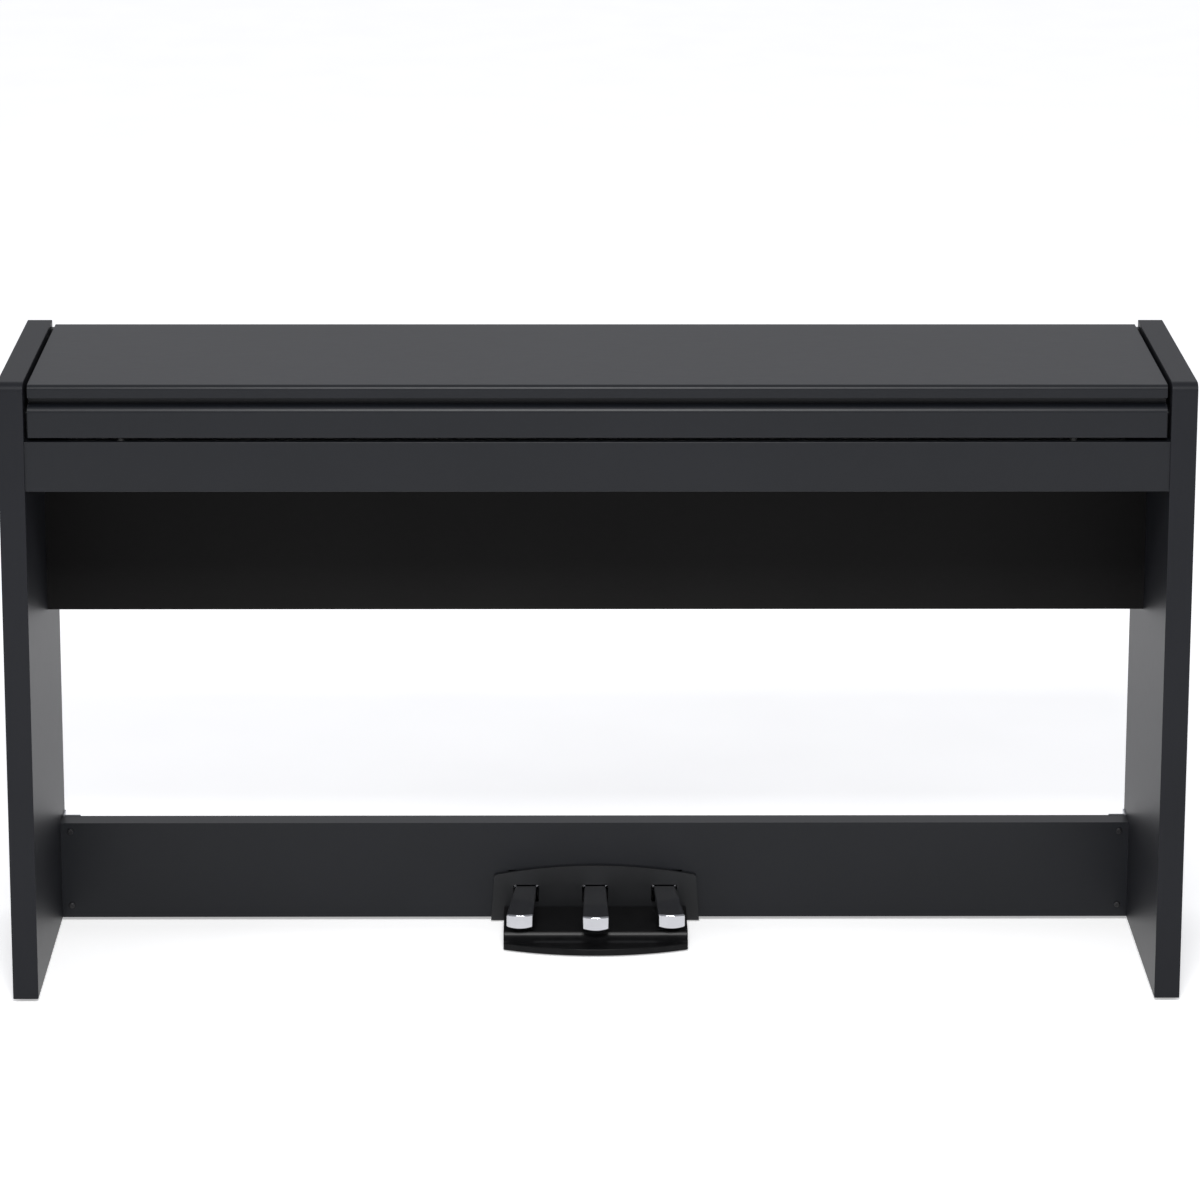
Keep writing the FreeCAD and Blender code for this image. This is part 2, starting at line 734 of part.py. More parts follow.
def lid_hinge_fixed():
    """The lower leaves on the rear panel, with the pins they hold."""
    solids = []
    clear = HINGE_R + HINGE_GAP
    y, z = LID_AXIS_Y, LID_UNDER
    for x in LID_HINGE_X:
        spans = knuckles(x, False)
        plate_y = LID_BACK + HINGE_PLATE
        pieces = [box(x - HINGE_LEN / 2, x + HINGE_LEN / 2, LID_BACK, plate_y, z - 19, z - clear)]
        for x0, x1 in spans:
            pieces.append(rod(x0, x1, y, z, HINGE_R))
            pieces.append(box(x0, x1, LID_BACK + 0.5, plate_y, z - clear, z))
        solids.append(bored_leaf(pieces, x, y, z))
        solids.append(rod(x - HINGE_LEN / 2, x + HINGE_LEN / 2, y, z, HINGE_PIN_R))
    return group(solids)


def lid_hinge_moving():
    """The upper leaves on the back edge of the lid."""
    solids = []
    clear = HINGE_R + HINGE_GAP
    y, z = LID_AXIS_Y, LID_UNDER
    for x in LID_HINGE_X:
        spans = knuckles(x, True)
        plate_y = LID_BACK + HINGE_PLATE
        pieces = [box(x - HINGE_LEN / 2, x + HINGE_LEN / 2, LID_BACK, plate_y, z + clear, z + 12.5)]
        for x0, x1 in spans:
            pieces.append(rod(x0, x1, y, z, HINGE_R))
            pieces.append(box(x0, x1, LID_BACK + 0.5, plate_y, z, z + clear))
        solids.append(bored_leaf(pieces, x, y, z))
    return group(solids)


def flap_hinge_upper():
    """The leaves screwed under the lid, with the pins they hold."""
    solids = []
    clear = HINGE_R + HINGE_GAP
    y, z = FLAP_AXIS_Y, FLAP_AXIS_Z
    for x in FLAP_HINGE_X:
        spans = knuckles(x, False)
        pieces = [box(x - HINGE_LEN / 2, x + HINGE_LEN / 2, y + clear, y + 19, z + 1.2, LID_UNDER)]
        for x0, x1 in spans:
            pieces.append(rod(x0, x1, y, z, HINGE_R))
            pieces.append(box(x0, x1, y, y + clear, z + 1.2, LID_UNDER - HINGE_GAP))
        solids.append(bored_leaf(pieces, x, y, z))
        solids.append(rod(x - HINGE_LEN / 2, x + HINGE_LEN / 2, y, z, HINGE_PIN_R))
    return group(solids)


def flap_hinge_lower():
    """The leaves on the back of the flap."""
    solids = []
    clear = HINGE_R + HINGE_GAP
    y, z = FLAP_AXIS_Y, FLAP_AXIS_Z
    for x in FLAP_HINGE_X:
        spans = knuckles(x, True)
        plate_y = FLAP_BACK + HINGE_PLATE
        pieces = [box(x - HINGE_LEN / 2, x + HINGE_LEN / 2, FLAP_BACK, plate_y, z - 18, z - clear)]
        for x0, x1 in spans:
            pieces.append(rod(x0, x1, y, z, HINGE_R))
            pieces.append(box(x0, x1, FLAP_BACK, plate_y, z - clear, z))
        solids.append(bored_leaf(pieces, x, y, z))
    return group(solids)


def music_ledge():
    """The fold-out music ledge, with a pin at each end."""
    strip = box(-LEDGE_HALF, LEDGE_HALF, LEDGE_Y - LEDGE_REACH, LEDGE_Y,
                LEDGE_Z - LEDGE_T / 2, LEDGE_Z + LEDGE_T / 2)
    tail = rod(-LEDGE_HALF, LEDGE_HALF, LEDGE_Y, LEDGE_Z, LEDGE_T / 2)
    pin = rod(-LEDGE_HALF - 5, LEDGE_HALF + 5, LEDGE_Y, LEDGE_Z, LEDGE_PIN_R)
    return fuse([strip, tail, pin])


def ledge_brackets():
    """The two end cheeks under the lid that hold the ledge's pins."""
    x0 = LEDGE_HALF + 0.5
    cheek = box(x0, x0 + 5, LEDGE_Y - 8, LEDGE_Y + 8, LEDGE_Z - 4, LID_UNDER)
    cheek = cheek.cut(rod(x0, x0 + 5, LEDGE_Y, LEDGE_Z, LEDGE_PIN_R + RUNNING))
    return group([cheek, mirrored(cheek)])


# ---- pedals ----
def pedal_plate():
    """The arched plate in front of the crossboard, with a slot for each pedal."""
    foot = 129.0
    shoulder = 125.0
    shoulder_z = 60.7
    crown = 72.8
    soft = 4.0

    def at(x, z):
        return Vector(x, PLATE_FRONT, z)

    face = outline_face([
        at(-foot, BASE_BOTTOM), at(foot, BASE_BOTTOM), at(shoulder, shoulder_z - soft),
        (at(shoulder - 1.0, shoulder_z - 0.6), at(shoulder - soft, shoulder_z + 0.8)),
        (at(0, crown), at(-shoulder + soft, shoulder_z + 0.8)),
        (at(-shoulder + 1.0, shoulder_z - 0.6), at(-shoulder, shoulder_z - soft)),
    ])
    plate = face.extrude(Vector(0, PLATE_T, 0))
    slot_r = 3.0
    for x in PEDAL_X:
        slot = box(x - SLOT_HALF, x + SLOT_HALF, PLATE_FRONT, CROSS_FRONT, SLOT_BOTTOM, SLOT_TOP)
        corners = [e for e in slot.Edges if near(e.Length, PLATE_T)]
        plate = plate.cut(slot.makeFillet(slot_r, corners))
    return plate


def pedal_base():
    """The low base under the pedals: a raised back, a cove, and a bowed shelf in front."""
    side_front = 5.0
    middle_front = -18.0
    cove_r = 16.0
    cove_start = 4.0
    corner_r = 4.0
    shelf_r = 1.2

    def plan(x, y):
        return Vector(x, y, BASE_BOTTOM)

    def side(y, z):
        return Vector(-BASE_HALF, y, z)

    footprint = outline_face([
        plan(BASE_HALF, PLATE_FRONT), plan(-BASE_HALF, PLATE_FRONT), plan(-BASE_HALF, side_front),
        (plan(0, middle_front), plan(BASE_HALF, side_front)),
    ])
    slab = footprint.extrude(Vector(0, 0, BASE_TOP - BASE_BOTTOM))
    corners = [e for e in slab.Edges if near(e.Length, BASE_TOP - BASE_BOTTOM)
               and all(near(v.Y, side_front) for v in e.Vertexes)]
    slab = slab.makeFillet(corner_r, corners)

    def cove(turn):
        """A point on the cove, turned from its lowest point towards the back."""
        y = cove_start + cove_r * math.sin(turn)
        return side(y, BASE_SHELF + cove_r * (1 - math.cos(turn)))

    end = math.acos(1 - (BASE_TOP - BASE_SHELF) / cove_r)
    front = middle_front - 5.0
    profile = outline_face([
        side(PLATE_FRONT, BASE_BOTTOM), side(front, BASE_BOTTOM), side(front, BASE_SHELF),
        side(cove_start, BASE_SHELF), (cove(end / 2), cove(end)), side(PLATE_FRONT, BASE_TOP),
    ])
    base = slab.common(profile.extrude(Vector(2 * BASE_HALF, 0, 0)))
    rim = [e for e in base.Edges
           if all(near(v.Z, BASE_SHELF) and v.Y < cove_start for v in e.Vertexes)]
    return base.makeFillet(shelf_r, rim) if rim else base


def pedal_chassis():
    """A steel tray in the crossboard's notch, with ears that hold the axle."""
    half = 106.0
    inner_ear = 46.0
    tray_back = 168.0
    ear_front = 138.0
    ear_back = 162.0
    ear_top = PEDAL_PIVOT_Z + 9.0
    pieces = [box(-half, half, CROSS_FRONT, tray_back, TRAY_FLOOR, TRAY_FLOOR + TRAY_T)]
    for x in (-half, -inner_ear, inner_ear - TRAY_T, half - TRAY_T):
        pieces.append(box(x, x + TRAY_T, ear_front, ear_back, TRAY_FLOOR, ear_top))
    tray = fuse(pieces)
    return tray.cut(rod(-half, half, PEDAL_PIVOT_Y, PEDAL_PIVOT_Z, PEDAL_AXLE_R))


def pedal_axle():
    half = 107.0
    return rod(-half, half, PEDAL_PIVOT_Y, PEDAL_PIVOT_Z, PEDAL_AXLE_R)


def pedal_cover():
    """The shell behind the crossboard that closes off the mechanism."""
    half = 112.0
    t = 2.5
    z0 = BASE_BOTTOM + 1.0
    z1 = 70.0
    back = 173.0
    edge_r = 2.0
    outer = box(-half, half, CROSS_BACK, back, z0, z1)
    outer = outer.makeFillet(edge_r, edges_where(outer, lambda p: near(p.y, back)))
    inner = box(-half + t, half - t, CROSS_BACK, back - t, z0 + t, z1 - t)
    return outer.cut(inner)


def pedal_springs():
    """A bent leaf spring under each arm."""
    t = 0.8
    half = 6.0
    foot = TRAY_FLOOR + TRAY_T
    crest = PEDAL_BACK_TOP - PEDAL_THICK - 2.4
    springs = []
    for x in PEDAL_X:
        outline = [
            (128.0, foot), (146.0, foot), (146.0, foot + t), (130.0, foot + t),
            (126.5, crest - 2.6), (122.5, crest), (122.0, crest - t), (125.8, crest - 3.2),
            (127.6, foot + 3.5),
        ]
        springs.append(prism_x(outline, x - half, x + half))
    return group(springs)


def pedal_plan(i, y_front, bow):
    """A pedal seen from above, from its bowed tip to the plate, widening forwards."""
    x0, x1 = PEDAL_X[i], PEDAL_TIP_X[i]
    wide = PEDAL_HALF + PEDAL_FLARE
    z = PEDAL_TIP_BOTTOM
    face = outline_face([
        Vector(x0 + PEDAL_HALF, PLATE_FRONT, z), Vector(x0 - PEDAL_HALF, PLATE_FRONT, z),
        Vector(x1 - wide, y_front + bow, z),
        (Vector(x1, y_front, z), Vector(x1 + wide, y_front + bow, z)),
    ])
    blank = face.extrude(Vector(0, 0, PEDAL_BACK_TOP - z))
    corner_r = 3.0
    corners = [e for e in blank.Edges if near(e.Length, PEDAL_BACK_TOP - z)
               and all(near(v.Y, y_front + bow) for v in e.Vertexes)]
    return blank.makeFillet(corner_r, corners)


def pedal(i):
    """A plated pedal: a bored hub, a sloping arm that widens, and a turned-down bowed toe."""
    x = PEDAL_X[i]
    tip_x = PEDAL_TIP_X[i]
    tip = PEDAL_TIP_Y[i]
    bow = 2.5
    belly = 2.4
    toe_t = 7.0
    crest_r = 1.6
    low = PEDAL_BACK_TOP - PEDAL_THICK
    wide = PEDAL_HALF + PEDAL_FLARE + 1.0
    side = [
        (tip - 1.0, PEDAL_TIP_BOTTOM), (tip + toe_t, PEDAL_TIP_BOTTOM),
        (tip + toe_t, PEDAL_TIP_TOP - PEDAL_THICK), (PLATE_FRONT, low),
        (PLATE_FRONT, PEDAL_BACK_TOP), (tip - 1.0, PEDAL_TIP_TOP),
    ]
    lever = pedal_plan(i, tip, bow).common(prism_x(side, -BASE_HALF, BASE_HALF))

    def end_view(dx, z):
        return Vector(tip_x + dx, tip - 1.0, z)

    sag = outline_face([
        end_view(-wide, PEDAL_TIP_BOTTOM + belly), (end_view(0, PEDAL_TIP_BOTTOM),
                                                    end_view(wide, PEDAL_TIP_BOTTOM + belly)),
        end_view(wide, PEDAL_TIP_BOTTOM - 1.0), end_view(-wide, PEDAL_TIP_BOTTOM - 1.0),
    ])
    lever = lever.cut(sag.extrude(Vector(0, toe_t + 2.0, 0)))
    rise = (PEDAL_BACK_TOP - PEDAL_TIP_TOP) / (PLATE_FRONT - tip + 1.0)

    def on_top(p):
        return abs(p.z - PEDAL_TIP_TOP - rise * (p.y - tip + 1.0)) < 0.01

    crest = [e for e in edges_where(lever, on_top)
             if any(v.Y < PLATE_FRONT - 1.0 for v in e.Vertexes)]
    lever = lever.makeFillet(crest_r, crest)
    back = box(x - PEDAL_HALF, x + PEDAL_HALF, PLATE_FRONT, PEDAL_PIVOT_Y, low, PEDAL_BACK_TOP)
    hub = rod(x - PEDAL_HALF, x + PEDAL_HALF, PEDAL_PIVOT_Y, PEDAL_PIVOT_Z, HUB_R)
    lever = fuse([lever, back, hub])
    return lever.cut(rod(x - 15, x + 15, PEDAL_PIVOT_Y, PEDAL_PIVOT_Z, PEDAL_AXLE_R + RUNNING))


# ---- build ----
def main():
    save("side_panel_left", side_panel(-HALF))
    save("side_panel_right", side_panel(INNER))
    simple_nodes = [
        floor_glides, crossboard, crossboard_screws, panel_brackets, keybed_board, key_slip,
        rear_panel, corner_fillers, jack_panel, cheek_blocks, rear_deck, control_panel,
        volume_knob, circuit_boards, key_frame, key_felts, key_pivot_rod, speaker_front_board,
        speaker_rear_board, speaker_bottom_board, speaker_units, speaker_cones, speaker_grilles,
        lid_leaf, lid_flap, flap_bumpers, lid_hinge_fixed, lid_hinge_moving, flap_hinge_upper,
        flap_hinge_lower, music_ledge, ledge_brackets, pedal_plate, pedal_base, pedal_chassis,
        pedal_axle, pedal_cover, pedal_springs,
    ]
    for make in simple_nodes:
        save(make.__name__, make())
    for name, (x, y) in BUTTONS.items():
        save(name, push_button(x, y))
    for name, shape in all_keys().items():
        save(name, shape)
    for i, name in enumerate(PEDAL_NAMES):
        save(name + "_pedal", pedal(i))


main()
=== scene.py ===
import json
import math

import bmesh
import bpy
from mathutils import Matrix, Vector, noise


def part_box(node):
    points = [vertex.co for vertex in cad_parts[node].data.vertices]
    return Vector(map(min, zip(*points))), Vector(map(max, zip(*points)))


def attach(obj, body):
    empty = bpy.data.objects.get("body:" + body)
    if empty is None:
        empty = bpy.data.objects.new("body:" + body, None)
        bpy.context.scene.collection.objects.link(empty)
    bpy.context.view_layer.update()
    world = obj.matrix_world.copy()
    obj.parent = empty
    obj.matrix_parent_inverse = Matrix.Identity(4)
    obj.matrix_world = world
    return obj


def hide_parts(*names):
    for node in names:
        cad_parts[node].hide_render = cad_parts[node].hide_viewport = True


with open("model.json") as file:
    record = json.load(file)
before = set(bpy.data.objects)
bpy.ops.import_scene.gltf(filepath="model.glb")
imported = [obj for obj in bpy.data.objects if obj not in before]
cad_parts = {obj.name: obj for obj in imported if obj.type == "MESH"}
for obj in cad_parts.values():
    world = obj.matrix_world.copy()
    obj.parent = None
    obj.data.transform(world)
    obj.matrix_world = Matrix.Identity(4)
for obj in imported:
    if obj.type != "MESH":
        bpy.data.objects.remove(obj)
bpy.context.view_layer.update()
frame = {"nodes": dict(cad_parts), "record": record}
NODES = frame["nodes"]
MM = 0.001

HORIZON = 0.34      # brightness of the studio near the horizon
BACKDROP = 0.20     # extra brightness behind the piano
ZENITH = 0.70       # brightness straight overhead
SEEN_WHITE = 1.05   # brightness of the studio as the camera sees it
FLOOR_GLOW = 0.40   # the floor is a lit sweep, so it stays pale without hard shadows


# ---------------------------------------------------------------- camera and stage
def make_camera():
    """A long lens, well in front and above the lid, looking slightly down."""
    data = bpy.data.cameras.new("camera")
    data.sensor_width = 36.0
    data.lens = 147.9
    data.shift_y = -0.10
    data.clip_end = 100.0
    cam = bpy.data.objects.new("camera", data)
    cam.location = (-0.046, -5.692, 1.995)
    pitch_down, roll, turn_left = 13.84, -0.10, -0.48
    cam.rotation_euler = [math.radians(turn) for turn in (90 - pitch_down, roll, turn_left)]
    bpy.context.scene.collection.objects.link(cam)
    bpy.context.scene.camera = cam


def make_floor():
    """A wide pale floor."""
    half = 14.0
    mesh = bpy.data.meshes.new("floor")
    corners = [(-half, -half, 0), (half, -half, 0), (half, half, 0), (-half, half, 0)]
    mesh.from_pydata(corners, [], [(0, 1, 2, 3)])
    floor = bpy.data.objects.new("floor", mesh)
    bpy.context.scene.collection.objects.link(floor)
    paint = Paint("stage_floor")
    paint.set(roughness=0.9, specular=0.0)
    paint.shader.inputs["Emission Color"].default_value = (1.0, 1.0, 1.0, 1.0)
    paint.shader.inputs["Emission Strength"].default_value = FLOOR_GLOW
    speckle = paint.noise(scale=6.0, detail=3.0)
    paint.colour(paint.ramp(speckle, [(0.3, (0.93, 0.93, 0.93)), (0.7, (0.96, 0.96, 0.96))]))
    mesh.materials.append(paint.material)


def area_light(name, at, aim, size, power):
    """A rectangular lamp of a size in metres and a power in watts, turned towards a point."""
    data = bpy.data.lights.new(name, "AREA")
    data.shape = "RECTANGLE"
    data.size, data.size_y = size
    data.energy = power
    lamp = bpy.data.objects.new(name, data)
    lamp.location = at
    lamp.rotation_euler = (Vector(aim) - Vector(at)).to_track_quat("-Z", "Y").to_euler()
    bpy.context.scene.collection.objects.link(lamp)


def make_light():
    """A cool white studio, bright overhead and behind, with a softbox and a weak fill."""
    world = bpy.data.worlds.new("studio")
    bpy.context.scene.world = world
    world.use_nodes = True
    nodes, links = world.node_tree.nodes, world.node_tree.links
    nodes.clear()
    coord = nodes.new("ShaderNodeTexCoord")
    split = nodes.new("ShaderNodeSeparateXYZ")
    links.new(coord.outputs["Generated"], split.inputs[0])

    def slope(axis, start, end, low, high):
        """A brightness that changes evenly between two values of one axis."""
        node = nodes.new("ShaderNodeMapRange")
        node.inputs["From Min"].default_value = start
        node.inputs["From Max"].default_value = end
        node.inputs["To Min"].default_value = low
        node.inputs["To Max"].default_value = high
        links.new(split.outputs[axis], node.inputs["Value"])
        return node.outputs[0]

    both = nodes.new("ShaderNodeMath")
    links.new(slope("Z", 0.2, 1.0, HORIZON, ZENITH), both.inputs[0])
    links.new(slope("Y", -0.1, 0.7, 0.0, BACKDROP), both.inputs[1])
    shade = nodes.new("ShaderNodeBackground")
    shade.inputs["Color"].default_value = (0.975, 0.985, 1.03, 1.0)
    links.new(both.outputs[0], shade.inputs["Strength"])
    white = nodes.new("ShaderNodeBackground")
    white.inputs["Color"].default_value = (1.0, 1.0, 1.0, 1.0)
    white.inputs["Strength"].default_value = SEEN_WHITE
    path = nodes.new("ShaderNodeLightPath")
    mix = nodes.new("ShaderNodeMixShader")
    links.new(path.outputs["Is Camera Ray"], mix.inputs[0])
    links.new(shade.outputs[0], mix.inputs[1])
    links.new(white.outputs[0], mix.inputs[2])
    out = nodes.new("ShaderNodeOutputWorld")
    links.new(mix.outputs[0], out.inputs["Surface"])
    area_light("front_softbox", (0.0, -2.8, 2.75), (0, 0, 0.6), (1.1, 0.6), 98)
    area_light("left_fill", (-3.6, -2.6, 1.8), (0, 0, 0.4), (1.4, 1.4), 24)
    bpy.context.scene.view_settings.view_transform = "Standard"


# ---------------------------------------------------------------- materials
class Paint:
    """One principled material, built up from a few procedural layers."""

    def __init__(self, name):
        self.material = bpy.data.materials.new(name)
        self.material.use_nodes = True
        self.tree = self.material.node_tree
        self.shader = self.tree.nodes["Principled BSDF"]
        self.coord = self.tree.nodes.new("ShaderNodeTexCoord")
        self.relief = None

    def set(self, roughness=None, specular=None, metallic=None, coat=None, coat_roughness=None,
            sheen=None, sheen_roughness=None):
        """Values that are the same all over."""
        pairs = {"Roughness": roughness, "Specular IOR Level": specular, "Metallic": metallic,
                 "Coat Weight": coat, "Coat Roughness": coat_roughness, "Sheen Weight": sheen,
                 "Sheen Roughness": sheen_roughness}
        for socket, value in pairs.items():
            if value is not None:
                self.shader.inputs[socket].default_value = value

    def mapping(self, stretch):
        """Object coordinates in metres, stretched along each axis."""
        node = self.tree.nodes.new("ShaderNodeMapping")
        node.inputs["Scale"].default_value = stretch
        self.tree.links.new(self.coord.outputs["Object"], node.inputs["Vector"])
        return node.outputs[0]

    def noise(self, scale, detail=4.0, roughness=0.55, stretch=(1, 1, 1)):
        """Cloudy noise, as a value."""
        node = self.tree.nodes.new("ShaderNodeTexNoise")
        node.inputs["Scale"].default_value = scale
        node.inputs["Detail"].default_value = detail
        node.inputs["Roughness"].default_value = roughness
        self.tree.links.new(self.mapping(stretch), node.inputs["Vector"])
        return node.outputs["Fac"]

    def cells(self, scale, stretch=(1, 1, 1)):
        """Distance to the nearest border between cells."""
        node = self.tree.nodes.new("ShaderNodeTexVoronoi")
        node.feature = "DISTANCE_TO_EDGE"
        node.inputs["Scale"].default_value = scale
        self.tree.links.new(self.mapping(stretch), node.inputs["Vector"])
        return node.outputs["Distance"]

    def ramp(self, value, stops):
        """Turns a value into a colour, through stops of (position, colour)."""
        node = self.tree.nodes.new("ShaderNodeValToRGB")
        node.color_ramp.elements[0].position = stops[0][0]
        node.color_ramp.elements[1].position = stops[-1][0]
        for position, _ in stops[1:-1]:
            node.color_ramp.elements.new(position)
        for element, (_, colour) in zip(node.color_ramp.elements, stops):
            element.color = (*colour, 1)
        self.tree.links.new(value, node.inputs["Fac"])
        return node.outputs["Color"]

    def mix(self, a, b, share=0.5):
        """A weighted sum of two value outputs."""
        node = self.tree.nodes.new("ShaderNodeMix")
        node.inputs["Factor"].default_value = share
        self.tree.links.new(a, node.inputs["A"])
        self.tree.links.new(b, node.inputs["B"])
        return node.outputs["Result"]

    def colour(self, value):
        """Drives the base colour."""
        self.tree.links.new(value, self.shader.inputs["Base Color"])

    def between(self, value, low, high, socket="Roughness"):
        """Drives a socket between two values."""
        node = self.tree.nodes.new("ShaderNodeMapRange")
        node.inputs["To Min"].default_value = low
        node.inputs["To Max"].default_value = high
        self.tree.links.new(value, node.inputs["Value"])
        self.tree.links.new(node.outputs[0], self.shader.inputs[socket])

    def bump(self, value, depth, strength=1.0):
        """Relief of a real depth in metres. Calls add up."""
        node = self.tree.nodes.new("ShaderNodeBump")
        node.inputs["Strength"].default_value = strength
        node.inputs["Distance"].default_value = depth
        self.tree.links.new(value, node.inputs["Height"])
        if self.relief is not None:
            self.tree.links.new(self.relief, node.inputs["Normal"])
        self.relief = node.outputs["Normal"]
        self.tree.links.new(self.relief, self.shader.inputs["Normal"])


def laminate(name, low, high, roughness, grain, specular=0.23):
    """Foil-covered board: fine pores along the grain and slow, faint changes of tone."""
    paint = Paint(name)
    paint.set(specular=specular)
    pores = paint.noise(scale=900.0, detail=3.0, stretch=grain)
    tone = paint.noise(scale=5.0, detail=3.0)
    paint.colour(paint.ramp(paint.mix(pores, tone, 0.6), [(0.3, low), (0.7, high)]))
    paint.between(pores, roughness - 0.035, roughness + 0.035)
    paint.bump(pores, 0.00002, 0.35)
    paint.bump(paint.noise(scale=140.0, detail=2.0), 0.00002, 0.25)
    return paint.material


def hardboard():
    """Pressed brown-black fibres, matt and slightly rough."""
    paint = Paint("back_board")
    fibres = paint.noise(scale=420.0, detail=6.0, roughness=0.7, stretch=(1, 1, 0.6))
    paint.colour(paint.ramp(fibres, [(0.3, (0.012, 0.012, 0.013)), (0.75, (0.034, 0.034, 0.036))]))
    paint.between(fibres, 0.55, 0.75)
    paint.bump(fibres, 0.00008, 0.5)
    return paint.material


def moulded(name, low, high, roughness, grain=1600.0, depth=0.00004, specular=0.5):
    """Injection-moulded plastic with a spark-eroded texture."""
    paint = Paint(name)
    paint.set(specular=specular)
    texture = paint.noise(scale=grain, detail=2.0)
    cloud = paint.noise(scale=18.0, detail=3.0)
    paint.colour(paint.ramp(paint.mix(texture, cloud, 0.6), [(0.3, low), (0.7, high)]))
    paint.between(texture, roughness - 0.04, roughness + 0.05)
    paint.bump(texture, depth, 0.5)
    return paint.material


def gloss(name, low, high, roughness):
    """Glossy moulding: a clear top layer with the slightest orange peel and dust."""
    paint = Paint(name)
    paint.set(specular=0.09, coat=0.01, coat_roughness=0.25)
    peel = paint.noise(scale=90.0, detail=2.0)
    dust = paint.noise(scale=1500.0, detail=3.0)
    paint.colour(paint.ramp(paint.mix(peel, dust, 0.4), [(0.35, low), (0.8, high)]))
    paint.between(dust, roughness - 0.03, roughness + 0.05)
    paint.bump(peel, 0.00004, 0.25)
    return paint.material


def metal(name, low, high, roughness, brush=(1, 1, 1), scale=700.0, depth=0.00001, metallic=1.0):
    """Metal with fine drawing or plating marks."""
    paint = Paint(name)
    paint.set(metallic=metallic)
    marks = paint.noise(scale=scale, detail=4.0, stretch=brush)
    smudge = paint.noise(scale=40.0, detail=4.0)
    paint.colour(paint.ramp(paint.mix(marks, smudge, 0.5), [(0.3, low), (0.7, high)]))
    paint.between(smudge, max(roughness - 0.05, 0.02), roughness + 0.06)
    paint.bump(marks, depth, 0.4)
    return paint.material


def circuit():
    """Solder mask over faint tracks."""
    paint = Paint("circuit_board")
    paint.set(specular=0.5)
    tracks = paint.cells(scale=260.0, stretch=(1, 1, 0.2))
    stops = [(0.02, (0.02, 0.16, 0.06)), (0.06, (0.008, 0.07, 0.03)), (0.2, (0.01, 0.09, 0.035))]
    paint.colour(paint.ramp(tracks, stops))
    paint.between(paint.noise(scale=80.0), 0.3, 0.42)
    paint.bump(tracks, 0.00003, 0.4)
    return paint.material


def felt():
    """Red wool felt with a fuzzy sheen."""
    paint = Paint("felt")
    paint.set(sheen=0.6, sheen_roughness=0.5, specular=0.2)
    wool = paint.noise(scale=1300.0, detail=6.0, roughness=0.75)
    paint.colour(paint.ramp(wool, [(0.3, (0.12, 0.008, 0.012)), (0.75, (0.34, 0.03, 0.04))]))
    paint.between(wool, 0.85, 1.0)
    paint.bump(wool, 0.0003, 0.8)
    return paint.material


def white_key():
    """Cast key tops: near-white with the faintest cloud, under a soft gloss."""
    paint = Paint("key_white")
    paint.set(specular=0.5, coat=0.3, coat_roughness=0.12)
    cloud = paint.noise(scale=22.0, detail=4.0, stretch=(4, 1, 1))
    grain = paint.noise(scale=800.0, detail=3.0, stretch=(1, 0.08, 1))
    paint.colour(paint.ramp(paint.mix(cloud, grain, 0.4),
                            [(0.3, (0.74, 0.72, 0.66)), (0.7, (0.84, 0.83, 0.78))]))
    paint.between(grain, 0.22, 0.34)
    paint.bump(grain, 0.00002, 0.4)
    return paint.material


def black_key():
    """Matt ebony-like tops with a fine lengthwise grain."""
    paint = Paint("key_black")
    paint.set(specular=0.5)
    grain = paint.noise(scale=600.0, detail=4.0, stretch=(1, 0.05, 1))
    paint.colour(paint.ramp(grain, [(0.3, (0.006, 0.006, 0.007)), (0.7, (0.022, 0.021, 0.022))]))
    paint.between(grain, 0.34, 0.5)
    paint.bump(grain, 0.00005, 0.5)
    return paint.material


def paper():
    """Pulp for the speaker cones."""
    paint = Paint("speaker_paper")
    paint.set(specular=0.2)
    pulp = paint.noise(scale=500.0, detail=6.0, roughness=0.7)
    paint.colour(paint.ramp(pulp, [(0.3, (0.012, 0.012, 0.012)), (0.7, (0.035, 0.035, 0.035))]))
    paint.between(pulp, 0.75, 0.95)
    paint.bump(pulp, 0.0001, 0.6)
    return paint.material


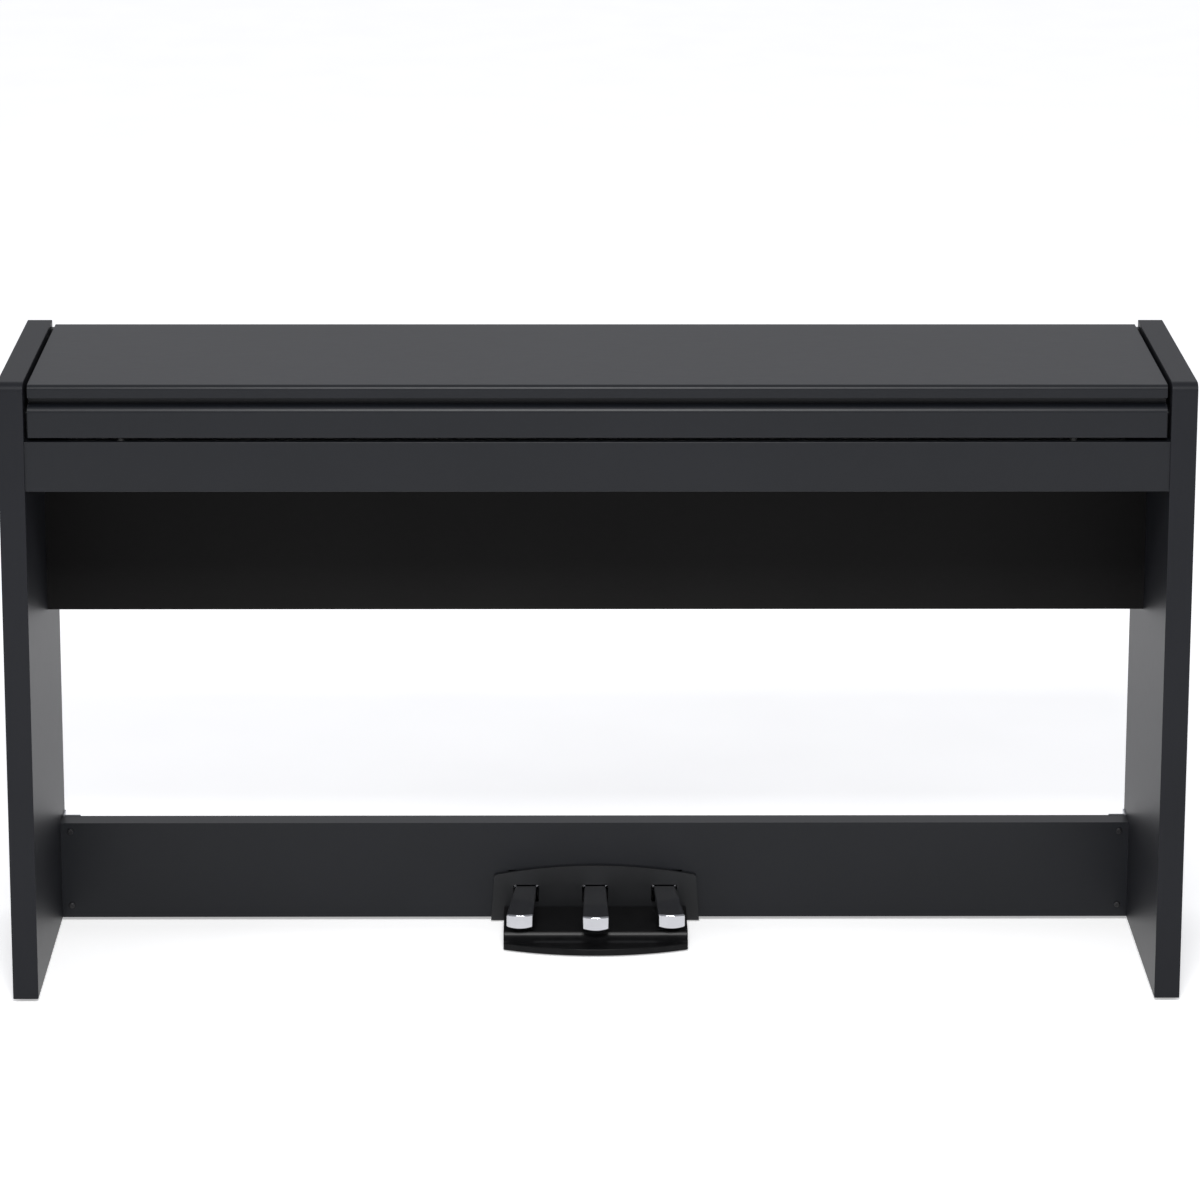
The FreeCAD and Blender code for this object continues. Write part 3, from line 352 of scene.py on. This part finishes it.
def make_materials():
    """Every slot of the record, by name, and two more: a copy of the laminate with upright grain and
    a lighter painted tone, which is painted light on the side panels, and printed marks.
    """
    along_x, along_z = (0.06, 1, 1), (1, 1, 0.06)
    charcoal = ((0.0048, 0.0056, 0.0074), (0.0068, 0.0076, 0.0100))
    # The side colours are the same laminate as charcoal, painted lighter so that the side panels show
    # the light falling on them. This is painted light, not a different colour of board. Their copy
    # below also has weaker gloss.
    charcoal_side_painted_light = ((0.0084, 0.0090, 0.0112), (0.0106, 0.0112, 0.0138))
    return {
        "cabinet_black": laminate("cabinet_black", *charcoal, 0.38, along_x),
        "cabinet_upright_painted_light": laminate("cabinet_upright_painted_light", *charcoal_side_painted_light, 0.42, along_z, 0.14),
        "speaker_board_black": laminate("speaker_board_black", (0.0050, 0.0048, 0.0048),
                                        (0.0070, 0.0067, 0.0067), 0.5, along_x, 0.06),
        "back_board": hardboard(),
        "glide_plastic": moulded("glide_plastic", (0.02, 0.02, 0.02), (0.035, 0.035, 0.035), 0.5),
        "screw_steel": metal("screw_steel", (0.03, 0.03, 0.032), (0.07, 0.07, 0.072), 0.42),
        "bracket_steel": metal("bracket_steel", (0.42, 0.43, 0.45), (0.62, 0.63, 0.65), 0.38,
                               scale=160.0),
        "black_plastic": moulded("black_plastic", (0.010, 0.010, 0.011), (0.020, 0.020, 0.021),
                                 0.42),
        "circuit_board": circuit(),
        "chassis_plastic": moulded("chassis_plastic", (0.05, 0.05, 0.052), (0.08, 0.08, 0.083),
                                   0.5),
        "felt": felt(),
        "bright_steel": metal("bright_steel", (0.52, 0.52, 0.53), (0.68, 0.68, 0.69), 0.22,
                              brush=(0.05, 1, 1)),
        "key_white": white_key(),
        "key_black": black_key(),
        "speaker_paper": paper(),
        "grille_metal": metal("grille_metal", (0.012, 0.012, 0.012), (0.028, 0.028, 0.028), 0.5,
                              scale=1200.0, depth=0.00004, metallic=0.3),
        "bumper_rubber": moulded("bumper_rubber", (0.014, 0.014, 0.014), (0.03, 0.03, 0.03), 0.7,
                                 specular=0.3),
        "hinge_steel": metal("hinge_steel", (0.03, 0.03, 0.032), (0.06, 0.06, 0.063), 0.35),
        "pedal_case_satin": moulded("pedal_case_satin", (0.0085, 0.0090, 0.0100),
                                    (0.0125, 0.0130, 0.0142), 0.44, depth=0.00002,
                                    specular=0.26),
        "panel_print": moulded("panel_print", (0.55, 0.55, 0.54), (0.68, 0.68, 0.66), 0.5),
        "pedal_case_gloss": gloss("pedal_case_gloss", (0.004, 0.004, 0.0043),
                                  (0.009, 0.009, 0.0095), 0.27),
        "pedal_plating": metal("pedal_plating", (0.47, 0.475, 0.50), (0.56, 0.565, 0.59), 0.09,
                               scale=1500.0, depth=0.000004),
    }


def dress(obj, material):
    """Gives a piece one material."""
    obj.data.materials.clear()
    obj.data.materials.append(material)


def paint_nodes(materials):
    """Each CAD node takes the material of its slot, except the two side panels, which take the
    lighter painted-light copy of the laminate.
    """
    upright = {"side_panel_left", "side_panel_right"}
    for part in frame["record"]["subparts"]:
        node, slot = part["node"], part["material_slot"]
        # The side panels get the lighter copy of the laminate, which is painted light.
        key = "cabinet_upright_painted_light" if node in upright else slot
        obj = NODES[node]
        obj.data.materials.clear()
        obj.data.materials.append(materials[key])


# ---------------------------------------------------------------- mesh helpers
def add_piece(name, bm, body, material, smooth_angle=35.0):
    """Makes a piece from a bmesh, dresses it and lets it ride on a body."""
    mesh = bpy.data.meshes.new(name)
    bmesh.ops.recalc_face_normals(bm, faces=bm.faces)
    for edge in bm.edges:
        edge.smooth = edge.calc_face_angle(0.0) < math.radians(smooth_angle)
    for face in bm.faces:
        face.smooth = True
    bm.to_mesh(mesh)
    bm.free()
    piece = bpy.data.objects.new(name, mesh)
    bpy.context.scene.collection.objects.link(piece)
    dress(piece, material)
    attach(piece, body)
    return piece


def turned(bm, rings, place, segments=32):
    """Joins rings round an axis. A ring is (radius or a function of the angle, height)."""
    loops = []
    for radius, height in rings:
        if radius == 0:
            loops.append([bm.verts.new(place @ Vector((0, 0, height)))])
            continue
        loop = []
        for i in range(segments):
            turn = 2 * math.pi * i / segments
            r = radius(turn) if callable(radius) else radius
            point = Vector((r * math.cos(turn), r * math.sin(turn), height))
            loop.append(bm.verts.new(place @ point))
        loops.append(loop)
    for low, high in zip(loops, loops[1:]):
        for i in range(segments):
            k = (i + 1) % segments
            corners = [low[i % len(low)], low[k % len(low)], high[k % len(high)], high[i % len(high)]]
            bm.faces.new(list(dict.fromkeys(corners)))


def cross(arm, width):
    """The outline of a cross recess, as a radius at each angle."""
    def radius(turn):
        off_arm = abs((turn + math.pi / 4) % (math.pi / 2) - math.pi / 4)
        if math.tan(off_arm) <= width / arm:
            return arm / math.cos(off_arm)
        return width / math.sin(off_arm)
    return radius


def screw_head(bm, place, radius, height):
    """A domed cross-head screw."""
    depth = 0.7 * height + 0.2 * radius
    rings = [(radius, 0), (radius, 0.3 * height), (0.94 * radius, 0.65 * height),
             (0.80 * radius, 0.9 * height), (0.62 * radius, height),
             (cross(0.55 * radius, 0.13 * radius), height),
             (cross(0.40 * radius, 0.10 * radius), height - depth), (0, height - depth)]
    turned(bm, rings, place, segments=48)


FACING_BACK = Matrix.Rotation(math.radians(-90), 4, "X")


def spread(low, high, count):
    """Evenly spaced places, ends included."""
    return [low + (high - low) * i / (count - 1) for i in range(count)]


# ---------------------------------------------------------------- pieces
def back_screws(materials):
    """The rows of screws that hold the two back boards."""
    bm = bmesh.new()
    inset = 12 * MM
    below_hinges = 26 * MM
    for node, columns in (("rear_panel", 9), ("speaker_rear_board", 10)):
        low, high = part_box(node)
        from_top = below_hinges if node == "rear_panel" else inset
        for z in (low[2] + inset, high[2] - from_top):
            for x in spread(low[0] + inset, high[0] - inset, columns):
                place = Matrix.Translation((x, high[1], z)) @ FACING_BACK
                screw_head(bm, place, 3.4 * MM, 1.6 * MM)
    add_piece("back_screws", bm, "cabinet", materials["screw_steel"])


def hinge_screws(materials):
    """Two screws in each visible leaf of the lid hinges."""
    plate_back = 1.6 * MM
    across = 22 * MM
    half_hinge = 30 * MM
    above_low_edge, below_high_edge = 7 * MM, 4.6 * MM
    hinges = 4
    for node, body, name in (("lid_hinge_fixed", "cabinet", "hinge_screws_low"),
                             ("lid_hinge_moving", "lid", "hinge_screws_high")):
        bm = bmesh.new()
        low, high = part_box(node)
        lid_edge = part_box("lid_leaf")[1][1]
        z = low[2] + above_low_edge if body == "cabinet" else high[2] - below_high_edge
        for middle in spread(low[0] + half_hinge, high[0] - half_hinge, hinges):
            for x in (middle - across, middle + across):
                place = Matrix.Translation((x, lid_edge + plate_back, z)) @ FACING_BACK
                screw_head(bm, place, 2.0 * MM, 0.5 * MM)
        add_piece(name, bm, body, materials["screw_steel"])


def jack_rings(materials):
    """The threaded rings round the two headphone jacks."""
    bm = bmesh.new()
    outline_mm = [(3.3, 0), (3.3, 1.3), (3.6, 1.7), (4.7, 1.7), (5.2, 1.2), (5.2, 0)]
    rings = [(r * MM, h * MM) for r, h in outline_mm]
    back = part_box("jack_panel")[1][1]
    for mount in frame["record"]["mounts"]:
        if mount["kind"] == "bore":
            x, _, z = mount["pos_m"]
            turned(bm, rings, Matrix.Translation((x, back, z)) @ FACING_BACK, segments=40)
    add_piece("jack_rings", bm, "cabinet", materials["bright_steel"])


def felt_strip(bm, low, high):
    """A soft-edged strip along X, with a slightly uneven nap."""
    step = 5 * MM
    nap = 0.12 * MM
    nap_scale = 400
    squareness = 0.35
    count = int((high[0] - low[0]) / step)
    half_y, half_z = (high[1] - low[1]) / 2, (high[2] - low[2]) / 2
    mid_y, mid_z = (high[1] + low[1]) / 2, (high[2] + low[2]) / 2
    around = 28
    loops = []
    for x in spread(low[0], high[0], count):
        loop = []
        for i in range(around):
            turn = 2 * math.pi * i / around
            y = math.copysign(abs(math.cos(turn)) ** squareness, math.cos(turn)) * half_y
            z = math.copysign(abs(math.sin(turn)) ** squareness, math.sin(turn)) * half_z
            fuzz = nap * noise.noise(Vector((x, y, z)) * nap_scale)
            loop.append(bm.verts.new((x, mid_y + y - fuzz, mid_z + z - abs(fuzz))))
        loops.append(loop)
    for a, b in zip(loops, loops[1:]):
        for i in range(around):
            k = (i + 1) % around
            bm.faces.new((a[i], a[k], b[k], b[i]))
    bm.faces.new(loops[0])
    bm.faces.new(loops[-1])


def key_felt_strips(materials):
    """The two strips that stop the keys, in place of the plain blocks."""
    bm = bmesh.new()
    low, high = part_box("key_felts")
    front_rail, back_rail = 16 * MM, 12 * MM
    front_t, back_t = 3.0 * MM, 2.0 * MM
    felt_strip(bm, low, (high[0], low[1] + front_rail, low[2] + front_t))
    felt_strip(bm, (low[0], high[1] - back_rail, high[2] - back_t), high)
    piece = add_piece("key_felt_strips", bm, "cabinet", materials["felt"], smooth_angle=80)
    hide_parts("key_felts")


def name_felt(materials):
    """The thin red felt between the keys and the control panel."""
    bm = bmesh.new()
    thick, gap = 1.5 * MM, 0.1 * MM
    bottom, top = 691 * MM, 698.5 * MM
    keys_low, keys_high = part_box("white_keys")
    panel_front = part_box("control_panel")[0][1]
    low = (keys_low[0], panel_front - gap - thick, bottom)
    high = (keys_high[0], panel_front - gap, top)
    felt_strip(bm, low, high)
    add_piece("name_felt", bm, "cabinet", materials["felt"], smooth_angle=80)


def panel_marks(materials):
    """Printed dots round the volume knob, growing clockwise, and two behind each button."""
    bm = bmesh.new()
    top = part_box("control_panel")[1][2]
    ink = 0.08 * MM
    dots, ring_r = 11, 13 * MM
    first_turn, turn_step = 225, 27
    first_r, r_step = 0.5 * MM, 0.05 * MM
    low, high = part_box("volume_knob")
    middle = ((low[0] + high[0]) / 2, (low[1] + high[1]) / 2)
    for i in range(dots):
        turn = math.radians(first_turn - turn_step * i)
        r = first_r + r_step * i
        at = (middle[0] + ring_r * math.cos(turn), middle[1] + ring_r * math.sin(turn), top)
        turned(bm, [(r, 0), (r, ink), (0, ink)], Matrix.Translation(at), segments=16)
    dot_r, aside, behind = 0.6 * MM, 2.4 * MM, 4 * MM
    for node in ("power_button", "function_button"):
        low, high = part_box(node)
        x = (low[0] + high[0]) / 2
        for side in (-1, 1):
            place = Matrix.Translation((x + side * aside, high[1] + behind, top))
            turned(bm, [(dot_r, 0), (dot_r, ink), (0, ink)], place, segments=16)
    add_piece("panel_marks", bm, "cabinet", materials["panel_print"])


def ease_edges():
    """Rounds the sharp edges of boards, keys and mouldings a little. Widths are in mm."""
    white, black = 0.35, 0.4
    widths = {"crossboard": 0.8, "key_slip": 0.5, "lid_leaf": 0.5, "lid_flap": 0.4,
              "speaker_front_board": 0.6, "cheek_blocks": 0.6, "rear_deck": 0.5,
              "music_ledge": 0.5, "pedal_plate": 0.4, "white_keys": white, "black_keys": black}
    not_keys = ("key_slip", "key_frame", "key_felts", "key_pivot_rod")
    for node in NODES:
        if node.startswith("key_") and node not in not_keys:
            widths[node] = black if "sharp" in node else white
    for node, width in widths.items():
        modifier = NODES[node].modifiers.new("eased_edges", "BEVEL")
        modifier.width = width * MM
        modifier.segments = 2
        modifier.limit_method = "ANGLE"
        modifier.angle_limit = math.radians(40)
        modifier.harden_normals = True


def main():
    """Builds the stage, dresses the CAD nodes and adds the small pieces."""
    make_camera()
    make_floor()
    make_light()
    materials = make_materials()
    paint_nodes(materials)
    for make in (back_screws, hinge_screws, jack_rings, key_felt_strips, name_felt, panel_marks):
        make(materials)
    ease_edges()


main()
